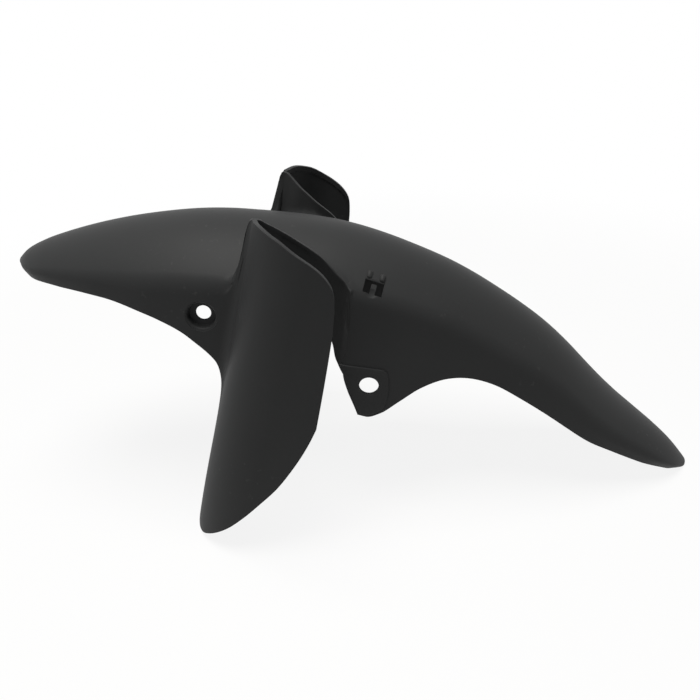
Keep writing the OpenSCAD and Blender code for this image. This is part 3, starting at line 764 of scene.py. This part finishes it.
    def clip_frame(self) -> tuple[Array, Array]:
        """Place and turn of the hose clip: x to the rear, y up to the crown, z out of the surface."""
        f = self.form
        t, q = np.array(self.clip_t), np.array(self.clip_q)
        r = f.crown_at(t, q)
        a = math.radians(self.clip_t)
        b = math.atan(2 * float(f.rise(t)) * self.clip_q / float(f.half_w(t)) ** 2)
        turn_y = np.array([[math.cos(a), 0, math.sin(a)], [0, 1, 0], [-math.sin(a), 0, math.cos(a)]])
        turn_x = np.array([[1, 0, 0], [0, math.cos(b), -math.sin(b)], [0, math.sin(b), math.cos(b)]])
        return np.array([float(r * sind(t)), -self.clip_q, float(r * cosd(t))]), turn_y @ turn_x

    def hose_clip(self, side: float) -> list[tuple[Role, bpy.types.Object]]:
        """Window with a standing tongue, a dished approach below it and two rounded ribs above it.

        Args:
            side: 1 for the near side, -1 for the far side.

        Returns:
            Helper shapes with what they do.
        """
        origin, turn = self.clip_frame()
        place = lambda local: self.put(origin + np.asarray(local, float) @ turn.T, side)
        outline = np.array([(-8, -6), (-2.1, -6), (-2.1, 2.2), (2.1, 2.2), (2.1, -6), (8, -6), (8, 6),
                            (-8, 6)])
        pts, faces = prism(*(np.column_stack([outline, np.full(len(outline), z)]) for z in (-9.0, 5.0)))
        window = new_object(f"window_{side:+.0f}", place(pts), faces)
        soften(window, 0.35, 2, 60)
        arc = np.linspace(0, math.pi, 25)
        dish = Lathe([(9 * math.sin(a) if 0 < i < 24 else 0.0, -9 * math.cos(a)) for i, a in enumerate(arc)],
                     place([0, -7.5, 7]), (turn @ [0, 0, 1]) * [1, side, 1])
        shapes = [(Role.CUT, new_object(f"dish_{side:+.0f}", *dish.mesh())), (Role.CUT, window)]
        rib = [(0, 0), (1.6, 0), (2.2, 0.3), (2.6, 1.0), (2.6, 5.5), (2.2, 6.2), (1.6, 6.5), (0, 6.5)]
        for x in (-5.4, 5.4):
            lathe = Lathe(rib, place([x, 6.3, -1.2]), (turn @ [0, 1, 0]) * [1, side, 1], 40)
            shapes.append((Role.JOIN, new_object(f"rib_{x:+.0f}_{side:+.0f}", *lathe.mesh())))
        return shapes

    def rear_pad(self, side: float) -> bpy.types.Object:
        """Raised pad round the rear bolt: a rounded outline lifted off the tab, its rim softened."""
        corners = np.array([
            [71.6, 225.0], [106.7, 219.2], [110, 216.5], [111.4, 211], [111.2, 200], [109, 188], [105, 181.6],
            [98.3, 177.5], [91.6, 175.8], [87.2, 177.6], [79.4, 197.6], [74.8, 214]])
        levels = [self.form.tab_q - self.pad_rise, self.form.tab_q + self.pad_rise]
        pts, faces = prism(*(np.insert(corners, 1, -q, axis=1) for q in levels))
        obj = new_object(f"pad_{side:+.0f}", self.put(pts, side), faces)
        soften(obj, 0.8, 3, 40)
        return obj

    def valley(self) -> tuple[Array, Array]:
        """Line where the channel wall stands on the crown, round the fin's front and to the rear corner.

        Returns:
            Points of the near side round the wheel centre, and how far the fillet reaches at each.
        """
        f = self.form
        run = lambda n, *ends: f.from_leg(*(np.linspace(a, b, n) for a, b in ends))
        front = run(8, (-46, -39), (73, 71), (281, 299))
        slit = run(8, (-40, -37), (73.5, 75), (290, 318))
        corner = run(12, (48, 53), (62.6, 62.6), (304, 276))
        p = np.linspace(-38, f.wall_to, 60)
        line = f.from_leg(p, f.wall_q(p) - 1.6, f.waist_h(p, 40) + 1.0)
        return np.concatenate([front, slit, line, corner]), np.concatenate(
            [np.full(8, 9.0), np.full(8, 5.0), 9.0 - 4.0 * ease((p - 30) / 15), np.full(12, 4.0)])

    def relax(self, obj: bpy.types.Object, steps: int = 30) -> None:
        """Softens the valleys at the foot of the channel walls and shields into fillets.

        Each step moves a point towards the mean of its neighbours, by a share that falls from a half on the
        valley line to nothing at the fillet's reach.

        Args:
            obj: the finished moulding, in the frame's coordinates.
            steps: how often the points are moved.
        """
        mesh = obj.data
        co = np.empty(len(mesh.vertices) * 3)
        mesh.vertices.foreach_get("co", co)
        co = co.reshape(-1, 3) / MM
        ends = np.empty(len(mesh.edges) * 2, int)
        mesh.edges.foreach_get("vertices", ends)
        a, b = ends.reshape(-1, 2).T
        both = np.concatenate([a, b])
        line, reach = self.valley()
        local = co - self.shift
        local[:, 1] = -np.abs(local[:, 1])
        share = np.zeros(len(co))
        for point, r in zip(line, reach):
            d = np.linalg.norm(local - point, axis=1)
            share = np.maximum(share, 0.5 * ease(1 - d / r) ** 0.5)
        count = np.maximum(np.bincount(both, minlength=len(co)), 1)[:, None]
        moved = share > 0
        for _ in range(steps):
            total = np.stack([np.bincount(both, np.concatenate([co[b, k], co[a, k]]), len(co))
                              for k in range(3)], 1)
            co[moved] += share[moved, None] * (total / count - co)[moved]
        mesh.vertices.foreach_set("co", (co * MM).ravel())
        mesh.update()

    def build(self) -> bpy.types.Object:
        """Makes the whole moulding as one closed mesh.

        Returns:
            The finished object.
        """
        obj = new_object("mudguard_moulding", *self.shell())
        LOG.info("shell: %d faces", len(obj.data.polygons))
        soften(obj, self.edge_round)
        top, wall_q = self.form.rim_top, self.form.wall_q
        nose_edge = [
            (-37.4, 71.4, 284, 2.6), (-37.2, 71.7, 298, 2.4), (-36.4, 72.4, 319, 2.1),
            (-36.0, 72.8, top - 21, 1.8), (-35.4, 73.3, top - 7, 1.8), (-27, wall_q(-27.0) + 0.6, 286, 1.2),
            (-31, wall_q(-31.0) + 0.6, top - 5.2, 1.2)]
        rear_corner = [(46.8, 61.6, 301.0, 1.3), (49.0, 61.8, 293, 1.3), (52.2, 61.8, 276, 1.2)]
        for side in (1.0, -1.0):
            wall = new_object(f"wall_{side:+.0f}", *self.channel_wall(side))
            soften(wall, self.edge_round)
            combine(obj, wall, Role.JOIN)
            combine(obj, self.blended("nose_edge", nose_edge, side), Role.JOIN)
            combine(obj, self.blended("rear_corner", rear_corner, side), Role.JOIN)
            combine(obj, self.rear_pad(side), Role.JOIN)
            for role, tool in self.bolt_places(side) + self.hose_clip(side):
                combine(obj, tool, role)
        LOG.info("moulding: %d faces", len(obj.data.polygons))
        self.relax(obj)
        obj.data.shade_smooth()
        obj.data.set_sharp_from_angle(angle=math.radians(self.smooth_below))
        return obj


# Materials


class Wire:
    """A node's output socket that can be used in arithmetic."""

    def __init__(self, tree: "Graph", socket: bpy.types.NodeSocket) -> None:
        """Keeps the graph and the socket."""
        self.tree, self.socket = tree, socket

    def _op(self, name: str, a: Any, b: Any) -> "Wire":
        """A Math node of one operation on two values."""
        return self.tree.node("ShaderNodeMath", {"operation": name}, {0: a, 1: b})

    def __add__(self, other: Any) -> "Wire":
        """Sum."""
        return self._op("ADD", self, other)

    __radd__ = __add__

    def __mul__(self, other: Any) -> "Wire":
        """Product."""
        return self._op("MULTIPLY", self, other)

    __rmul__ = __mul__

    def __sub__(self, other: Any) -> "Wire":
        """Difference."""
        return self._op("SUBTRACT", self, other)

    def __rsub__(self, other: Any) -> "Wire":
        """Difference from a number."""
        return self._op("SUBTRACT", other, self)

    def at_least(self, other: Any) -> "Wire":
        """The larger of the two."""
        return self._op("MAXIMUM", self, other)


class Graph:
    """A node tree that is filled through one method."""

    def __init__(self, tree: bpy.types.NodeTree) -> None:
        """Empties the tree."""
        self.tree = tree
        tree.nodes.clear()

    def node(self, kind: str, settings: dict[str, Any] | None = None, inputs: dict[Any, Any] | None = None,
             output: Any = 0) -> Wire:
        """Adds one node.

        Args:
            kind: the node's type.
            settings: properties that are set first.
            inputs: values or wires of its sockets, by name or number.
            output: which output to return.

        Returns:
            The chosen output.
        """
        node = self.tree.nodes.new(kind)
        for key, value in (settings or {}).items():
            setattr(node, key, value)
        for key, value in (inputs or {}).items():
            if isinstance(value, Wire):
                self.tree.links.new(value.socket, node.inputs[key])
            else:
                node.inputs[key].default_value = value
        return Wire(self, node.outputs[output]) if node.outputs else Wire(self, None)

    def noise(self, place: Wire, scale: float, detail: float = 2.0) -> Wire:
        """Cloudy noise at a place."""
        values = {"Vector": place, "Scale": scale, "Detail": detail}
        return self.node("ShaderNodeTexNoise", None, values, "Fac")

    def smooth(self, value: Wire, low: float, high: float, start: float = 0.0) -> Wire:
        """Smooth step from start to 1 as the value goes from low to high."""
        return self.node("ShaderNodeMapRange", {"interpolation_type": "SMOOTHSTEP"},
                         {"Value": value, "From Min": low, "From Max": high, "To Min": start}, "Result")

    def blend(self, factor: Wire, a: Any, b: Any) -> Wire:
        """Colour between a and b."""
        return self.node("ShaderNodeMix", {"data_type": "RGBA"}, {"Factor": factor, "A": a, "B": b}, "Result")


@dataclass(frozen=True)
class MouldedPlastic:
    """Matt black polypropylene with a fine spark-eroded grain."""

    dark: tuple[float, float, float, float] = (0.0235, 0.0242, 0.0248, 1.0)
    pale: tuple[float, float, float, float] = (0.0305, 0.0312, 0.0318, 1.0)
    scuffed: tuple[float, float, float, float] = (0.105, 0.106, 0.104, 1.0)
    scuff_share: float = 0.16
    roughness: float = 0.52
    grain: float = 1400.0

    def make(self) -> bpy.types.Material:
        """Builds the material on Object coordinates: cloudy tone and gloss, faint scuffs, two sizes of grain.

        Returns:
            The material.
        """
        mat = bpy.data.materials.new("moulded_plastic")
        mat.use_nodes = True
        g = Graph(mat.node_tree)
        place = g.node("ShaderNodeTexCoord", output="Object")
        cloud, speck, fine = g.noise(place, 22.0, 3.0), g.noise(place, 420.0), g.noise(place, self.grain)
        patch, dots = g.noise(place, 13.0, 1.0), g.noise(place, 230.0, 3.0)
        scuff = g.smooth(patch, 0.55, 0.68) * g.smooth(dots, 0.62, 0.76) * self.scuff_share
        tone = g.blend(scuff, g.blend(cloud * 0.6 + speck * 0.4, self.dark, self.pale), self.scuffed)
        rough = self.roughness - 0.05 + cloud * 0.06 + speck * 0.05
        bump = g.node("ShaderNodeBump", None, {"Strength": 0.16, "Distance": 0.00012,
                                               "Height": fine * 0.7 + speck * 0.3}, "Normal")
        shader = g.node("ShaderNodeBsdfPrincipled", None,
                        {"Base Color": tone, "Roughness": rough, "Normal": bump, "IOR": 1.49,
                         "Specular IOR Level": 0.10}, "BSDF")
        g.node("ShaderNodeOutputMaterial", None, {"Surface": shader})
        return mat


@dataclass(frozen=True)
class Studio:
    """Pale floor, white surroundings and soft lamps at a plain level."""

    floor_half: float = 6.0
    lamp_colour: tuple[float, float, float] = (1.0, 0.985, 0.955)
    fit_f: float = 581.74
    elevation: float = 19.21
    azimuth: float = 3.45
    roll: float = -2.15
    distance: float = 497.83
    look_at: tuple[float, float] = (79.82, 317.78)
    centre: tuple[float, float] = (349.05, 230.15)

    def seen(self, g: Graph) -> Wire:
        """One for rays that show the background: straight from the camera, mirrored or let through."""
        path = g.tree.nodes.new("ShaderNodeLightPath")
        rays = [Wire(g, path.outputs[n]) for n in ("Is Camera Ray", "Is Glossy Ray", "Is Transmission Ray")]
        return rays[0].at_least(rays[1]).at_least(rays[2])

    def world(self) -> None:
        """White to the camera, a plain soft grey as light."""
        world = bpy.data.worlds.new("studio")
        bpy.context.scene.world = world
        world.use_nodes = True
        g = Graph(world.node_tree)
        camera = self.seen(g)
        light = g.node("ShaderNodeBackground", None, {"Color": (0.92, 0.97, 1, 1), "Strength": 0.06})
        white = g.node("ShaderNodeBackground", None, {"Color": (1, 1, 1, 1), "Strength": 1.0})
        both = g.node("ShaderNodeMixShader", None, {0: camera, 1: light, 2: white})
        g.node("ShaderNodeOutputWorld", None, {"Surface": both})

    def floor(self) -> bpy.types.Object:
        """A pale floor that keeps the guard's shadow and otherwise reads white."""
        h = self.floor_half / MM
        pts = np.array([[-h, -h, 0.0], [h, -h, 0.0], [h, h, 0.0], [-h, h, 0.0]])
        obj = new_object("floor", pts, [[0, 1, 2, 3]])
        mat = bpy.data.materials.new("floor_paper")
        mat.use_nodes = True
        g = Graph(mat.node_tree)
        place = g.node("ShaderNodeTexCoord", output="Object")
        away = g.node("ShaderNodeVectorMath", {"operation": "LENGTH"}, {0: place}, "Value")
        white = g.smooth(away, 0.35, 1.1, 0.88)
        tone = g.blend(g.noise(place, 3.0), (0.80, 0.80, 0.80, 1), (0.84, 0.84, 0.84, 1))
        paper = g.node("ShaderNodeBsdfDiffuse", None, {"Color": tone})
        glow = g.node("ShaderNodeEmission", None, {"Color": (1, 1, 1, 1), "Strength": 1.0})
        both = g.node("ShaderNodeMixShader", None, {0: self.seen(g) * white, 1: paper, 2: glow})
        g.node("ShaderNodeOutputMaterial", None, {"Surface": both})
        obj.data.materials.append(mat)
        return obj

    def lamp(self, name: str, place: Sequence[float], aim: Sequence[float], size: float,
             power: float) -> None:
        """A square soft lamp.

        Args:
            name: its name.
            place: where it hangs, in metres.
            aim: the point it faces.
            size: length of its side.
            power: its power in watts.
        """
        data = bpy.data.lights.new(name, "AREA")
        data.shape, data.size, data.energy, data.color = "SQUARE", size, power, self.lamp_colour
        z = unit(np.array(place, float) - np.array(aim, float))
        x = unit(np.cross([0.01, 1.0, 0.02], z))
        link(name, data, (x, np.cross(z, x), z), place)

    def camera(self) -> None:
        """The photograph's camera, from its fitted angles, distance and centre."""
        e, a, ro = (math.radians(v) for v in (self.elevation, self.azimuth, self.roll))
        d = np.array([math.sin(a) * math.cos(e), -math.cos(a) * math.cos(e), math.sin(e)])
        fw = -d
        r = unit(np.cross(fw, [0.0, 0.0, 1.0]))
        up = np.cross(r, fw)
        r2 = r * math.cos(ro) + up * math.sin(ro)
        up2 = -r * math.sin(ro) + up * math.cos(ro)
        place = np.array([self.look_at[0], 0.0, self.look_at[1]]) + self.distance * d
        place = (place - ORIGIN) * MM
        data = bpy.data.cameras.new("camera")
        data.sensor_width = SENSOR
        data.lens = self.fit_f * SENSOR / PHOTO_PX
        data.shift_x = (PHOTO_PX / 2 - self.centre[0]) / PHOTO_PX
        data.shift_y = (self.centre[1] - PHOTO_PX / 2) / PHOTO_PX
        data.clip_start, data.clip_end = 0.01, 50.0
        bpy.context.scene.camera = link("camera", data, (r2, up2, -fw), place)

    def build(self) -> bpy.types.Object:
        """Sets up surroundings, lamps, camera and floor, and returns the floor."""
        self.world()
        self.lamp("top", (-0.25, -0.22, 1.95), (0.0, 0.0, 0.2), 1.0, 44.0)
        self.lamp("front", (-1.2, -1.2, 0.7), (0.0, 0.0, 0.15), 0.8, 0.8)
        self.camera()
        bpy.context.scene.view_settings.view_transform = "Standard"
        return self.floor()


def main() -> None:
    """Builds the guard and the studio and ties them to the frame."""
    logging.basicConfig(level=logging.INFO, format="%(name)s: %(message)s")
    guard = Mudguard(GuardForm(), -ORIGIN).build()
    guard.data.materials.clear()
    guard.data.materials.append(MouldedPlastic().make())
    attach(guard, "root")
    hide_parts("mudguard")
    LOG.info("guard: %d faces", len(guard.data.polygons))
    Studio().build()


if __name__ == "__main__":
    main()
